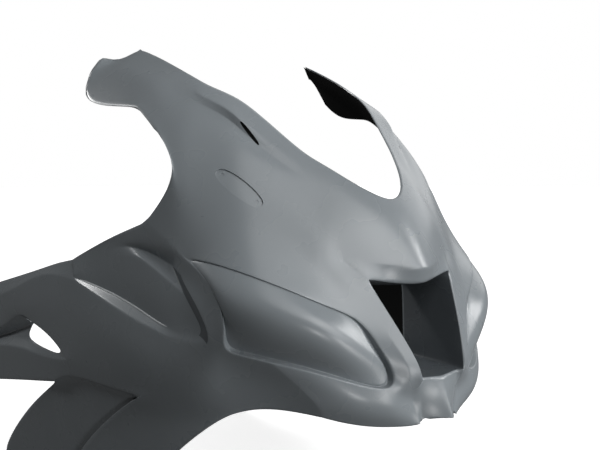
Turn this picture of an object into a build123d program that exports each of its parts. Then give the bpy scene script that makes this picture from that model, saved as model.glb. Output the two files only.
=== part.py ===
"""Upper race fairing of a motorcycle: one moulded glass-fibre shell.

The shell is drawn as a control cage of style lines. Each style line runs from the nose to the
rear of one side, as (half breadth, length, height) in millimetres, and the other side is its
mirror image. A smooth patch is laid on every quad of the cage, once for the outer face and once
for the inner face, and the two are closed along the free edges into one solid wall.
"""

import os
from math import sqrt

from build123d import *

# Overall breadth, length and height of the control cage, to which the style lines are scaled
BREADTH = 492.0
LENGTH = 670.0
HEIGHT = 557.0

# Wall
WALL = 2.5

# Groove around the lamp blank: width and depth above it, behind it, below it and at its front end
GROOVE_WIDTH = 4.0
GROOVE_DEPTH = 3.0
REAR_GROOVE_WIDTH = 3.5
REAR_GROOVE_DEPTH = 2.5
LIP_GROOVE_WIDTH = 6.0
LIP_GROOVE_DEPTH = 7.0
TIP_GROOVE_WIDTH = 9.0
TIP_GROOVE_DEPTH = 8.0
# Share of the groove's depth by which the blank's edge lies below the lip, and at its front end
LIP_SINK = 0.75
TIP_SINK = 0.2
# Crown of the lamp blank, how far it leans to the top, and how much flatter it is at the ends
LAMP_BULGE = 22.0
LAMP_CROWN_SKEW = 0.8
LAMP_END_FLATNESS = 0.35

# Intake duct: lengthwise place of its rear end at the top and at the bottom, and its narrowing
DUCT_END_TOP = -46.0
DUCT_END_BOTTOM = -74.0
DUCT_TAPER = 0.85

# Height of the mirror seats above the drawing's base line; the part's origin lies between them
SEAT_HEIGHT = 44.0
# Flat mirror seat cut into the cowl: it runs out at its two upper ends and at its lower middle, each
# given beside the place on the surface, and the way from there to it
SEAT_ENDS = [(151, -21, 36), (170, 21, 64)]
SEAT_LOWER_MIDDLE = (170, 2, 39)
SEAT_FACING = (0.63, -0.59, 0.5)
SEAT_LENGTH = 62.0
SEAT_WIDTH = 14.0
SEAT_CLEARANCE = 5.0

# Upper cowl: rim of the windscreen opening, crown line and lower line, from the nose back
RIM = [
    (0, -82, 27), (26, -72, 37), (46, -54, 52), (60, -37, 66), (72, -21, 77), (82, -6, 89),
    (104, 46, 136), (115, 68, 151), (128, 93, 162), (132, 107, 169),
]
CROWN = [
    (0, -109, -8), (29, -97, 1), (57, -81, 13), (81, -62, 25), (93, -54, 26), (105, -46, 29),
    (143, 4, 77), (159, 22, 84), (180, 54, 96), (190, 72, 106),
]
BROW = [
    (0, -133, -47), (30, -118, -43), (62, -101, -37), (95, -81, -28), (108, -81, -38),
    (119, -79, -46), (159, -28, 2), (181, -8, 8), (203, 28, 14), (208, 46, 34),
]
COWL_ROWS = (0.0, 0.39, 0.7, 1.0)
HOOD_COLUMNS = 4
VALLEY_COLUMN = 5

# Scoop beside the rim: its edge and its floor, each as shares of the way down the columns of the cowl
# with how far each point stands out, then as shares of the way down the ear
SCOOP_EDGE = [0.14, 0.14, 0.14, 0.14, 0.14, 0.19, 0.25, 0.16, 0.14, 0.12]
SCOOP_EDGE_RISE = [0, 0, 0, 0, 0, 0, 1, 5, 4, 1]
SCOOP_EDGE_EAR = 0.3
SCOOP_FLOOR = [0.25, 0.25, 0.25, 0.25, 0.25, 0.29, 0.32, 0.22, 0.2, 0.19]
SCOOP_FLOOR_RISE = [0, 0, 0, 0, 0, 0, -8, -3, -1, 0]
SCOOP_FLOOR_EAR = 0.55
SCOOP_FACING = (0.64, -0.55, 0.54)
SCOOP_START = 6

# Edge of the side cut-out, from the rim down to the fold of the side panel
CUTOUT = [(135, 123, 177), (184, 117, 145), (202, 106, 116), (206, 42, 62), (222, 92, 4)]
# Ear that carries the end of the windscreen: top edge, middle and lower edge
EAR_TOP = [(138, 144, 187), (140, 174, 200), (143, 215, 216), (166, 227, 200), (183, 240, 204)]
EAR_MIDDLE = [(177, 147, 165), (182, 180, 175), (184, 214, 187), (191, 231, 187), (200, 241, 185)]
EAR_LOWER = [(200, 139, 138), (208, 174, 140), (216, 206, 143), (215, 226, 153), (210, 236, 165)]

# Lamp blank: upper and lower lines from the nose back, then its front and rear ends downwards
LAMP_TOP = [
    (95, -114, -92), (128, -97, -78), (156, -81, -63), (188, -49, -46), (206, -8, -34), (213, 32, -31),
]
LAMP_LIP = [
    (75, -141, -171), (110, -122, -160), (144, -95, -147), (172, -63, -138), (190, -36, -132),
    (202, -17, -128),
]
LAMP_FRONT = [(81, -126, -116), (69, -137, -143), (62, -139, -162)]
LAMP_REAR = [(213, -1, -48), (211, -21, -71), (207, -30, -98)]

# Nose post between the lamp and the intake: intake edge and ridge, downwards
POST_EDGE = [
    BROW[3], (84, -92, -41), (70, -107, -55), (60, -123, -84), (50, -139, -113),
    (39, -153, -143), (36, -157, -160), (40, -142, -182),
]
POST_RIDGE = [
    BROW[4], (98, -93, -51), (87, -106, -68), (75, -119, -88), (65, -133, -114),
    (54, -148, -142), (49, -151, -162), (57, -142, -178),
]
POST_VALLEY = [BROW[5], (110, -91, -60), (103, -103, -75)]
VISOR = [(0, -126, -64), (28, -114, -63)]

# Chin: bottom edge from the middle back, and the prow between the cheeks
BOTTOM_EDGE = [
    (32, -148, -213), (46, -140, -214), (62, -130, -214), (100, -116, -209), (128, -89, -198),
    (151, -53, -189), (168, -22, -191), (181, 8, -205),
]
PROW_RIDGE = [(0, -153, -163), (0, -170, -208)]
PROW_STEP = [(31, -150, -161), (27, -146, -206)]
# Cheek between the lip and the bottom edge: two lines, each at a share of the way down, and how far
# each of their points lies forward of the straight way, from the middle back
CHEEK_UPPER = 0.35
CHEEK_LOWER = 0.7
CHEEK_UPPER_BULGE = [0, 2, 7, 8, 6, -4, -7, -5]
CHEEK_LOWER_BULGE = [0, 2, 7, 9, 5, -2, -4, -3]
CHEEK_FACING = (0.5, -0.86, 0)

# Strip behind the lamp and the front edge of the side panel, downwards
STRIP = [(215, 39, -31), (212, 45, -51), (217, 18, -69), (216, 0, -90), (208, -10, -122)]
PANEL_FRONT = [(216, 43, -28), (208, 60, -43), (215, 31, -70), (213, 12, -93), (206, -2, -122)]

# Side panel from the strip back: top edge, leaf recess, flank and the shelf below it
PANEL_TOP = [(217, 57, -11), CUTOUT[4], (227, 124, -6), (231, 165, -19), (237, 228, -45)]
LEAF_TOP = [(222, 88, -21), (227, 128, -17), (231.5, 168, -27), (238, 224, -49)]
LEAF_FLOOR = [(214, 93, -29), (227, 128, -20), (232, 168, -35), (239, 221, -53)]
LEAF_LOWER = [(223, 78, -43), (227.5, 126, -23), (232.5, 168, -45), (240, 218, -57)]
FLANK = [(224, 62, -82), (229, 112, -62), (233, 164, -60), (241, 217, -61)]
SHELF_ROOT = [(219, 44, -117), (224, 92, -96), (232, 155, -76), (241, 218, -65)]
SHELF_EDGE = [(221, 45, -119), (232, 90, -108), (240, 150, -87), (242, 215, -68)]

# Lower side, one downward line for each column, from under the strip back to the window
SIDE_COLUMNS = [
    [(204, 4, -148), (200, 19, -177), (193, 38, -205)],
    [(221, 50, -148), (215, 61, -176), (208, 75, -199)],
    [(235, 96, -139), (230, 104, -170), (221, 109, -195)],
    [(244, 157, -120), (238, 170, -160), (229, 178, -191)],
    [(246, 227, -103), (239, 238, -169), (234, 246, -187)],
]

# Front leg: one line across for each level, from the bottom edge of the cheek to the free edge
FRONT_LEG = [
    [(188, 33, -224), (200, 75, -222), (210, 115, -220), (218, 150, -217)],
    [(195, 72, -254), (204, 120, -255), (210, 163, -255), (216, 213, -257)],
    [(198, 120, -296), (205, 172, -301), (209, 222, -305), (213, 272, -309)],
]
# Rear leg, set in behind the front one
REAR_LEG = [
    [(212, 112, -201), (219, 180, -198), (225, 246, -195), (227, 284, -206)],
    [(208, 165, -236), (214, 235, -235), (219, 310, -236), (221, 362, -247)],
    [(204, 235, -286), (209, 305, -290), (214, 385, -295), (217, 437, -308)],
    [(202, 270, -312), (207, 340, -320), (211, 410, -330), (214, 460, -341)],
]

# Rear arm above the window: top edge, ridge and flank, then the recess behind the window
ARM_TOP = [(234, 226, -43), (236, 292, -58), (236, 352, -73), (236, 417, -88), (235, 500, -107)]
ARM_RIDGE = [(241, 287, -62), (244, 352, -88), (244, 410, -106), (242, 500, -128)]
ARM_FLANK = [(246, 284, -103), (245, 340, -112), (243, 405, -128), (241, 500, -150)]
WINDOW_TOP = [(241, 278, -140), (241, 354, -125), (240, 414, -152), (239, 500, -178)]
RECESS = [(228, 344, -138), (228, 414, -159), (230, 500, -184)]
WINDOW_SILL = [(233, 358, -159), (233, 414, -163), (233, 500, -186)]
SILL_RIDGE = [(239, 284, -175), (240, 342, -170), (240, 410, -170), (239, 500, -194)]
ARM_LOWER = [(234, 280, -203), (235, 345, -211), (234, 420, -222), (233, 500, -234)]


def mix(a, b, t):
    """Point at share t of the way from a to b."""
    return tuple(p + (q - p) * t for p, q in zip(a, b))


def shift(p, direction, distance):
    """Point p moved along a unit direction."""
    return tuple(c + d * distance for c, d in zip(p, direction))


def stretch(p, scales):
    """Point p scaled along the three axes."""
    return tuple(c * k for c, k in zip(p, scales))


def difference(a, b):
    """Vector from b to a."""
    return tuple(p - q for p, q in zip(a, b))


def cross(a, b):
    """Cross product."""
    return (
        a[1] * b[2] - a[2] * b[1],
        a[2] * b[0] - a[0] * b[2],
        a[0] * b[1] - a[1] * b[0],
    )


def unit(a):
    """Vector of length one."""
    length = sqrt(sum(c * c for c in a))
    return tuple(c / length for c in a)


def weighted(*terms):
    """Weighted mean of points, each term a weight and a point."""
    total = sum(weight for weight, _ in terms)
    return tuple(sum(weight * p[i] for weight, p in terms) / total for i in range(3))


def through(a, b, c, t):
    """Point at t on the parabola through a, b and c at 0, a half and 1."""
    return tuple(
        p * (1 - t) * (1 - 2 * t) + 4 * q * t * (1 - t) + r * t * (2 * t - 1)
        for p, q, r in zip(a, b, c)
    )


class Cage:
    """Quads of control points with sharp edges and corners, and the rims that close a wall."""

    def __init__(self):
        self.points = []
        self.numbers = {}
        self.quads = []
        self.ruled = set()
        self.rims = []
        self.sharp = set()
        self.corners = set()

    def number(self, point):
        """Number of a control point, the same for equal points."""
        key = tuple(round(c, 3) for c in point)
        if key not in self.numbers:
            self.numbers[key] = len(self.points)
            self.points.append(key)
        return self.numbers[key]

    def quad(self, *corners):
        """One quad, its corners anticlockwise from outside."""
        self.quads.append(tuple(self.number(p) for p in corners))

    def grid(self, *rows):
        """Quads between lines that follow each other downwards, each from front to rear."""
        for upper, lower in zip(rows, rows[1:]):
            for j in range(len(upper) - 1):
                self.quad(upper[j], lower[j], lower[j + 1], upper[j + 1])

    def folded(self, *rows):
        """A grid whose lines are sharp and whose faces run straight from line to line."""
        first = len(self.quads)
        self.grid(*rows)
        self.ruled.update(self.quads[first:])
        for row in rows:
            self.fold(row)

    def fold(self, line):
        """A sharp edge along a line of control points."""
        numbers = [self.number(p) for p in line]
        self.sharp.update(frozenset(pair) for pair in zip(numbers, numbers[1:]))

    def corner(self, *points):
        """Control points that the surface reaches with a corner."""
        self.corners.update(self.number(p) for p in points)

    def scales(self, *sizes):
        """Scales that give the cage these sizes along the three axes."""
        return [size / (max(axis) - min(axis)) for size, axis in zip(sizes, zip(*self.points))]

    def scaled(self, scales):
        """The same cage, scaled along the three axes."""
        whole = Cage()
        whole.points = [stretch(p, scales) for p in self.points]
        whole.quads = self.quads
        whole.ruled = self.ruled
        whole.sharp = self.sharp
        whole.corners = self.corners
        return whole

    def mirrored(self):
        """The same cage with its mirror image added across the middle plane."""
        whole = Cage()
        for quad in self.quads:
            corners = [self.points[n] for n in quad]
            whole.quad(*corners)
            whole.quad(*[(-x, y, z) for x, y, z in reversed(corners)])
            if quad in self.ruled:
                whole.ruled.update(whole.quads[-2:])
        for side in (1, -1):
            for edge in self.sharp:
                whole.fold([(side * x, y, z) for x, y, z in (self.points[n] for n in edge)])
            for n in self.corners:
                x, y, z = self.points[n]
                whole.corner((side * x, y, z))
        return whole

    def walled(self, wall):
        """A closed cage: this one, its inner face one wall behind it, and the free edges."""
        normals = [(0.0, 0.0, 0.0)] * len(self.points)
        for quad in self.quads:
            a, b, c, d = (self.points[n] for n in quad)
            facing = cross(difference(c, a), difference(d, b))
            for n in quad:
                normals[n] = shift(normals[n], facing, 1.0)
        inner = [shift(p, unit(n), -wall) for p, n in zip(self.points, normals)]
        closed = Cage()
        closed.points = self.points + inner
        step = len(self.points)
        edges = {}
        for quad in self.quads:
            closed.quads.append(quad)
            closed.quads.append(tuple(n + step for n in reversed(quad)))
            if quad in self.ruled:
                closed.ruled.update(closed.quads[-2:])
            for a, b in zip(quad, quad[1:] + quad[:1]):
                edges.setdefault(frozenset((a, b)), []).append((a, b))
        closed.sharp = set(self.sharp)
        closed.sharp.update(frozenset(n + step for n in edge) for edge in self.sharp)
        closed.corners = self.corners | {n + step for n in self.corners}
        for uses in edges.values():
            if len(uses) == 1:
                a, b = uses[0]
                closed.rims.append(((b, a), (b + step, a + step)))
                closed.sharp.update({frozenset((a, b)), frozenset((a + step, b + step))})
        return closed


def patches(cage):
    """One smooth face for each quad of a closed cage, equal along shared edges."""
    around = {}
    beside = {}
    for f, quad in enumerate(cage.quads):
        for i, v in enumerate(quad):
            around.setdefault(v, []).append(f)
            beside.setdefault(frozenset((v, quad[(i + 1) % 4])), []).append(f)

    def sector(f, v):
        """Faces around v that join f without crossing a sharp edge, and if they close up."""
        found = [f]
        for g in found:
            quad = cage.quads[g]
            i = quad.index(v)
            for w in (quad[(i + 1) % 4], quad[i - 1]):
                edge = frozenset((v, w))
                if edge not in cage.sharp:
                    found += [h for h in beside[edge] if h not in found]
        return len(found), len(found) == len(around[v])

    folds = {}
    for edge in cage.sharp:
        for v in edge:
            folds.setdefault(v, []).append(next(w for w in edge if w != v))

    inside = {}
    for f, quad in enumerate(cage.quads):
        for i, v in enumerate(quad):
            size, closed = sector(f, v)
            n = size if closed and v not in folds else 2 * size
            p = cage.points
            inside[f, v] = weighted(
                (n, p[v]), (2, p[quad[i - 1]]), (2, p[quad[(i + 1) % 4]]), (1, p[quad[(i + 2) % 4]])
            )

    def on_edge(a, b):
        """Control point beside a on the edge from a to b."""
        edge = frozenset((a, b))
        if edge in cage.sharp:
            return weighted((2, cage.points[a]), (1, cage.points[b]))
        return weighted(*[(1, inside[f, a]) for f in beside[edge]])

    def at_corner(v):
        """Where the surface passes the control point v."""
        ends = folds.get(v, [])
        if v in cage.corners or len(ends) > 2:
            return cage.points[v]
        if len(ends) == 2:
            return weighted((4, cage.points[v]), *[(1, cage.points[w]) for w in ends])
        return weighted(*[(1, inside[f, v]) for f in around[v]])

    def curve(a, b):
        """Control points of the edge from a to b."""
        return [at_corner(a), on_edge(a, b), on_edge(b, a), at_corner(b)]

    faces = [Face.make_bezier_surface([curve(*outer), curve(*inner)]) for outer, inner in cage.rims]
    for f, (a, b, c, d) in enumerate(cage.quads):
        if (a, b, c, d) in cage.ruled:
            faces.append(Face.make_bezier_surface([curve(a, d), curve(b, c)]))
            continue
        faces.append(
            Face.make_bezier_surface(
                [
                    curve(a, b),
                    [on_edge(a, d), inside[f, a], inside[f, b], on_edge(b, c)],
                    [on_edge(d, a), inside[f, d], inside[f, c], on_edge(c, b)],
                    curve(d, c),
                ]
            )
        )
    return faces


def lamp_rings():
    """Groove around the lamp blank: its outer edge, its floor and the edge of the blank."""
    top, lip = LAMP_TOP, LAMP_LIP
    outer = top + LAMP_REAR + lip[::-1] + LAMP_FRONT[::-1]
    last = len(top) - 1
    spine = [mix(a, b, 0.5) for a, b in zip(top, lip)]
    facing = []
    for j in range(last + 1):
        along = difference(spine[min(j + 1, last)], spine[max(j - 1, 0)])
        facing.append(unit(cross(difference(lip[j], top[j]), along)))
    sides = (
        [(j, GROOVE_WIDTH, GROOVE_DEPTH, 0.0) for j in range(last + 1)]
        + [(last, REAR_GROOVE_WIDTH, REAR_GROOVE_DEPTH, 0.0) for _ in LAMP_REAR]
        + [(j, LIP_GROOVE_WIDTH, LIP_GROOVE_DEPTH, LIP_SINK) for j in range(last, -1, -1)]
        + [(0, TIP_GROOVE_WIDTH, TIP_GROOVE_DEPTH, TIP_SINK) for _ in LAMP_FRONT]
    )
    floor = []
    edge = []
    for p, (j, width, depth, sunk) in zip(outer, sides):
        inward = unit(difference(spine[min(max(j, 1), last - 1)], p))
        floor.append(shift(shift(p, inward, width / 2), facing[j], -depth))
        edge.append(shift(shift(p, inward, width), facing[j], -depth * sunk))
    return outer, floor, edge, facing


def add_lamp(cage):
    """Lamp blank: a bulged panel in its groove."""
    outer, floor, edge, facing = lamp_rings()
    cage.folded(*[ring + ring[:1] for ring in (outer, floor, edge)])
    columns = len(LAMP_TOP)
    ends = len(LAMP_REAR)
    cage.corner(*[ring[columns - 1] for ring in (outer, floor, edge)])
    top = edge[:columns]
    rear = edge[columns : columns + ends]
    lip = edge[columns + ends : 2 * columns + ends][::-1]
    front = edge[2 * columns + ends :][::-1]
    rows = [top]
    for i in range(1, ends + 1):
        t = i / (ends + 1)
        row = [front[i - 1]]
        skewed = t**LAMP_CROWN_SKEW
        for j in range(1, columns - 1):
            flat = LAMP_END_FLATNESS * (2 * j / (columns - 1) - 1) ** 2
            crown = LAMP_BULGE * 4 * skewed * (1 - skewed) * (1 - flat)
            row.append(shift(mix(top[j], lip[j], t), facing[j], crown))
        rows.append(row + [rear[i - 1]])
    cage.grid(*rows, lip)


def add_cowl(cage):
    """Upper cowl from the middle plane to the side cut-out, with the ear."""
    columns = list(zip(RIM, CROWN, BROW))
    rows = [[through(*column, t) for column in columns] for t in COWL_ROWS]
    for row, end in zip(rows, CUTOUT):
        row.append(end)
    ears = [EAR_TOP, EAR_MIDDLE, EAR_LOWER]
    scoop = [
        (SCOOP_EDGE, SCOOP_EDGE_RISE, SCOOP_EDGE_EAR),
        (SCOOP_FLOOR, SCOOP_FLOOR_RISE, SCOOP_FLOOR_EAR),
    ]
    for i, (shares, rises, down) in enumerate(scoop, 1):
        row = []
        for column, t, rise in zip(columns, shares, rises):
            row.append(shift(through(*column, t), SCOOP_FACING, rise))
        cage.fold(row[SCOOP_START:])
        rows.insert(i, [*row, mix(CUTOUT[0], CUTOUT[1], down)])
        ears.insert(i, [mix(top, middle, down) for top, middle in zip(EAR_TOP, EAR_MIDDLE)])
    cage.grid(*rows)
    below = [*LAMP_TOP[2:], *PANEL_TOP[:2]]
    cage.grid(rows[-1][VALLEY_COLUMN:], below)
    cage.fold([LAMP_TOP[-1], *PANEL_TOP[:2]])
    cage.grid(*[[row[-1], *ear] for row, ear in zip(rows, ears)])
    cage.corner(EAR_TOP[2], EAR_TOP[3], EAR_TOP[4], EAR_LOWER[0], EAR_LOWER[4])


def add_nose(cage):
    """Hood, posts, chin and the intake duct between them."""
    hood = BROW[:HOOD_COLUMNS]
    corner = POST_EDGE[2]
    cage.grid(hood[:3], [*VISOR, corner])
    cage.quad(hood[2], corner, POST_EDGE[1], hood[3])
    cage.fold(hood)
    valley = [*POST_VALLEY, LAMP_TOP[0], *LAMP_FRONT, LAMP_LIP[0]]
    for i in range(len(POST_EDGE) - 1):
        cage.grid(
            [POST_EDGE[i], POST_RIDGE[i], valley[i]],
            [POST_EDGE[i + 1], POST_RIDGE[i + 1], valley[i + 1]],
        )
    cage.quad(valley[1], LAMP_TOP[1], LAMP_TOP[2], valley[0])
    cage.quad(valley[2], LAMP_TOP[0], LAMP_TOP[1], valley[1])
    cage.fold(POST_EDGE[:3])
    cage.corner(corner)

    plate = [POST_EDGE[6], *cheek_columns()[0]]
    height = plate[0][2] - plate[-1][2]
    lines = []
    for line in (PROW_RIDGE, PROW_STEP):
        lines.append([mix(*line, (plate[0][2] - p[2]) / height) for p in plate])
    lines.append(plate)
    cage.grid(*zip(*lines))
    for line in lines:
        cage.fold(line)

    mouth = [*VISOR, *POST_EDGE[2:7], PROW_STEP[0], PROW_RIDGE[0]]
    top = VISOR[0][2]
    bottom = PROW_RIDGE[0][2]
    middle = (top + bottom) / 2
    end = []
    for x, _, z in mouth:
        down = (top - z) / (top - bottom)
        y = DUCT_END_TOP + (DUCT_END_BOTTOM - DUCT_END_TOP) * down
        end.append((x * DUCT_TAPER, y, middle + (z - middle) * DUCT_TAPER))
    cage.folded(mouth, end)


def cheek_columns():
    """Downward lines of the cheek, from the lip to the bottom edge."""
    lip = [POST_EDGE[7], POST_RIDGE[7], *LAMP_LIP]
    columns = []
    for top, bottom, upper, lower in zip(lip, BOTTOM_EDGE, CHEEK_UPPER_BULGE, CHEEK_LOWER_BULGE):
        columns.append(
            [
                top,
                shift(mix(top, bottom, CHEEK_UPPER), CHEEK_FACING, upper),
                shift(mix(top, bottom, CHEEK_LOWER), CHEEK_FACING, lower),
                bottom,
            ]
        )
    return columns


def add_sides(cage):
    """Cheek, side panel with its leaf recess and shelf, window, rear arm and legs."""
    strip_front = [LAMP_TOP[-1], *LAMP_REAR, LAMP_LIP[-1]]
    for i in range(len(STRIP) - 1):
        cage.grid(
            [strip_front[i], STRIP[i], PANEL_FRONT[i]],
            [strip_front[i + 1], STRIP[i + 1], PANEL_FRONT[i + 1]],
        )
    cage.quad(LAMP_TOP[-1], STRIP[0], PANEL_FRONT[0], PANEL_TOP[0])
    cage.fold(STRIP)
    cage.fold(PANEL_FRONT)
    panel = [LEAF_TOP, LEAF_FLOOR, LEAF_LOWER, FLANK, SHELF_ROOT]
    rows = [[front, *line] for front, line in zip(PANEL_FRONT, panel)]
    cage.grid(PANEL_TOP, *rows)
    cage.fold(rows[1][:3])
    cage.fold(rows[2][:3])
    cage.fold(SHELF_ROOT)
    cage.quad(PANEL_FRONT[-1], STRIP[-1], SHELF_EDGE[0], SHELF_ROOT[0])
    cage.grid(SHELF_ROOT, SHELF_EDGE)
    cage.fold(SHELF_EDGE)

    columns = cheek_columns()
    for top, line in zip([STRIP[-1], *SHELF_EDGE], SIDE_COLUMNS):
        columns.append([top, *line])
    cage.grid(*zip(*columns))
    foot = [column[-1] for column in columns]

    leg_top = foot[len(BOTTOM_EDGE) - 1 : len(BOTTOM_EDGE) + 3]
    cage.grid(leg_top, *FRONT_LEG)
    rear_top = [*foot[len(BOTTOM_EDGE) + 2 :], ARM_LOWER[0]]
    cage.grid(rear_top, *REAR_LEG)
    cage.fold(rear_top)
    cage.corner(FRONT_LEG[-1][0], FRONT_LEG[-1][-1], REAR_LEG[-1][0], REAR_LEG[-1][-1])

    start = columns[-1]
    cage.folded(ARM_TOP, [start[0], *ARM_RIDGE])
    cage.quad(start[0], start[1], ARM_FLANK[0], ARM_RIDGE[0])
    cage.quad(start[1], start[2], WINDOW_TOP[0], ARM_FLANK[0])
    cage.grid(ARM_RIDGE, ARM_FLANK, WINDOW_TOP)
    cage.folded(WINDOW_TOP[1:], RECESS, WINDOW_SILL, SILL_RIDGE[1:])
    cage.quad(start[2], SILL_RIDGE[0], SILL_RIDGE[1], WINDOW_SILL[0])
    cage.grid([start[2], *SILL_RIDGE], [start[3], *ARM_LOWER])
    cage.fold([start[2], *SILL_RIDGE])
    cage.fold([WINDOW_SILL[0], SILL_RIDGE[1]])
    cage.corner(start[2], ARM_TOP[0], ARM_TOP[-1], ARM_LOWER[-1], PANEL_TOP[-1])
    cage.corner(WINDOW_SILL[0], RECESS[0], WINDOW_SILL[-1], RECESS[-1])


def mirror_seat(shell, scales):
    """Slot-shaped cutter whose flat floor lies on three places of the cowl's outer face."""
    places = []
    for point in (*SEAT_ENDS, SEAT_LOWER_MIDDLE):
        hits = shell.find_intersection_points(Axis(stretch(point, scales), SEAT_FACING))
        places.append(max((hit[0] for hit in hits), key=lambda p: p.dot(Vector(SEAT_FACING))))
    front, rear, lower = places
    along = rear - front
    floor = Plane(origin=(front + rear) / 2, x_dir=along, z_dir=along.cross(front - lower))
    outline = floor * Pos(0, -SEAT_WIDTH / 2) * SlotOverall(SEAT_LENGTH, SEAT_WIDTH)
    return extrude(outline, amount=SEAT_CLEARANCE)


half = Cage()
add_cowl(half)
add_nose(half)
add_lamp(half)
add_sides(half)

scales = half.scales(BREADTH / 2, LENGTH, HEIGHT)
shell = Solid(Shell(patches(half.scaled(scales).mirrored().walled(WALL))))
seat = mirror_seat(shell, scales)
fairing = Pos(0, 0, -SEAT_HEIGHT) * (shell - [seat, mirror(seat, Plane.YZ)])

os.makedirs("parts", exist_ok=True)
export_step(fairing, "parts/fairing_shell.step")
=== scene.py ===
"""Studio scene of a motorcycle's upper fairing: a primed glass-fibre shell, bare and dark inside."""

import logging
import math
from dataclasses import dataclass, field, replace
from enum import Enum
from typing import Iterable, Sequence

import bpy
from mathutils import Euler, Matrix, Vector


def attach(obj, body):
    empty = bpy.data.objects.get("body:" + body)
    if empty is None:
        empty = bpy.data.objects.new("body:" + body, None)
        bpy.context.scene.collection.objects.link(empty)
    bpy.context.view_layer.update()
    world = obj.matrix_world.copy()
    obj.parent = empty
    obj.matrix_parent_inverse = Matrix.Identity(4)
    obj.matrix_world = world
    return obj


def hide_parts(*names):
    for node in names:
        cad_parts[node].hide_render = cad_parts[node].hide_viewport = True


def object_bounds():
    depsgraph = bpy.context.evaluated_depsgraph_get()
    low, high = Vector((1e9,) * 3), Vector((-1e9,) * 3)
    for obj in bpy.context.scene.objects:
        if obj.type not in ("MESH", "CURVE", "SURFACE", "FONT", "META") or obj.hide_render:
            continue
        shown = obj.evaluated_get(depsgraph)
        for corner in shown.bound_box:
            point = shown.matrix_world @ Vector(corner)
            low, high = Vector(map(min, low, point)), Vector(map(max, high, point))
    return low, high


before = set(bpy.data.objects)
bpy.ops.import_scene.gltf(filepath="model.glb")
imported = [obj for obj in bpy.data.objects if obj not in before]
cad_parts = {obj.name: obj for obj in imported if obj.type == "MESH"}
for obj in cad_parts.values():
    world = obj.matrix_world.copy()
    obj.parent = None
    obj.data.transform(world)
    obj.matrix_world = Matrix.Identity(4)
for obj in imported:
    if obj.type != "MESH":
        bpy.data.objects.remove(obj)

CAD_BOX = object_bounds()
LOG = logging.getLogger("fairing")
MM = 0.001
NODE = "fairing_shell"
BODY = "root"
IMAGE_WIDTH = 600

Point = tuple[float, float, float]
Line = Sequence[Point]


class Face(Enum):
    """The faces of the shell's wall, by their material slot."""

    OUTSIDE = 0
    INSIDE = 1
    # Primer painted darker as shade, in the duct and in the gap beside the lamp blank
    DUCT = 2


class Edge(Enum):
    """How tightly an edge of the moulding is rounded, as a crease weight."""

    SOFT = 0.40
    INNER_RIM = 0.56
    FOLD = 0.62
    RIM = 0.68
    BEAD = 0.74
    CORNER = 1.0

    def near(self, crease: float) -> bool:
        """Whether a crease weight is this one."""
        return abs(crease - self.value) < 0.01


def linear(code: str) -> tuple[float, float, float, float]:
    """Linear colour of an sRGB hex value.

    Args:
        code: Six hex digits after a hash sign.

    Returns:
        Red, green, blue and alpha.
    """
    shares = [int(code[i : i + 2], 16) / 255 for i in (1, 3, 5)]
    red, green, blue = (c / 12.92 if c <= 0.04045 else ((c + 0.055) / 1.055) ** 2.4 for c in shares)
    return (red, green, blue, 1.0)


def mix(a: Point, b: Point, t: float) -> Point:
    """Point at share t of the way from a to b."""
    return tuple(p + (q - p) * t for p, q in zip(a, b))


def shift(p: Point, direction: Point, distance: float) -> Point:
    """Point p moved along a unit direction."""
    return tuple(c + d * distance for c, d in zip(p, direction))


def difference(a: Point, b: Point) -> Point:
    """Vector from b to a."""
    return tuple(p - q for p, q in zip(a, b))


def cross(a: Point, b: Point) -> Point:
    """Cross product."""
    return (a[1] * b[2] - a[2] * b[1], a[2] * b[0] - a[0] * b[2], a[0] * b[1] - a[1] * b[0])


def unit(a: Point) -> Point:
    """Vector of length one."""
    length = math.sqrt(sum(c * c for c in a))
    return tuple(c / length for c in a)


def through(a: Point, b: Point, c: Point, t: float) -> Point:
    """Point on the parabola through three points.

    Args:
        a: Where the parabola starts, at a share of 0.
        b: Where it is at a share of a half.
        c: Where it ends, at a share of 1.
        t: The share of the point.

    Returns:
        The point at that share.
    """
    return tuple(
        p * (1 - t) * (1 - 2 * t) + 4 * q * t * (1 - t) + r * t * (2 * t - 1)
        for p, q, r in zip(a, b, c)
    )


def add_node(tree: bpy.types.NodeTree, kind: str, **settings: object) -> bpy.types.Node:
    """Adds a shader node with its settings and links.

    Args:
        tree: The node tree.
        kind: The node's type name.
        settings: Attributes by name, and sockets by name with "_" for a space, or by number after
            a "_"; a socket takes a value or another node's output.

    Returns:
        The new node.
    """
    node = tree.nodes.new(kind)
    for name, value in settings.items():
        if hasattr(node, name):
            setattr(node, name, value)
            continue
        socket = node.inputs[int(name[1:])] if name[1:].isdigit() else node.inputs[name.replace("_", " ")]
        if isinstance(value, bpy.types.NodeSocket):
            tree.links.new(value, socket)
        else:
            socket.default_value = value
    return node


def place(name: str, data: bpy.types.ID) -> bpy.types.Object:
    """Puts a new object into the scene.

    Args:
        name: The object's name.
        data: Its mesh, curve, lamp or camera.

    Returns:
        The object, active and the only one selected.
    """
    piece = bpy.data.objects.new(name, data)
    bpy.context.scene.collection.objects.link(piece)
    bpy.ops.object.select_all(action="DESELECT")
    piece.select_set(True)
    bpy.context.view_layer.objects.active = piece
    return piece


def modify(piece: bpy.types.Object, kind: str, **settings: object) -> None:
    """Gives a piece a modifier and applies it.

    Args:
        piece: The piece to change, which becomes the active one.
        kind: The modifier's type name.
        settings: The modifier's settings by name.
    """
    modifier = piece.modifiers.new(kind.lower(), kind)
    for name, value in settings.items():
        setattr(modifier, name, value)
    bpy.context.view_layer.objects.active = piece
    bpy.ops.object.modifier_apply(modifier=modifier.name)


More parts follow.
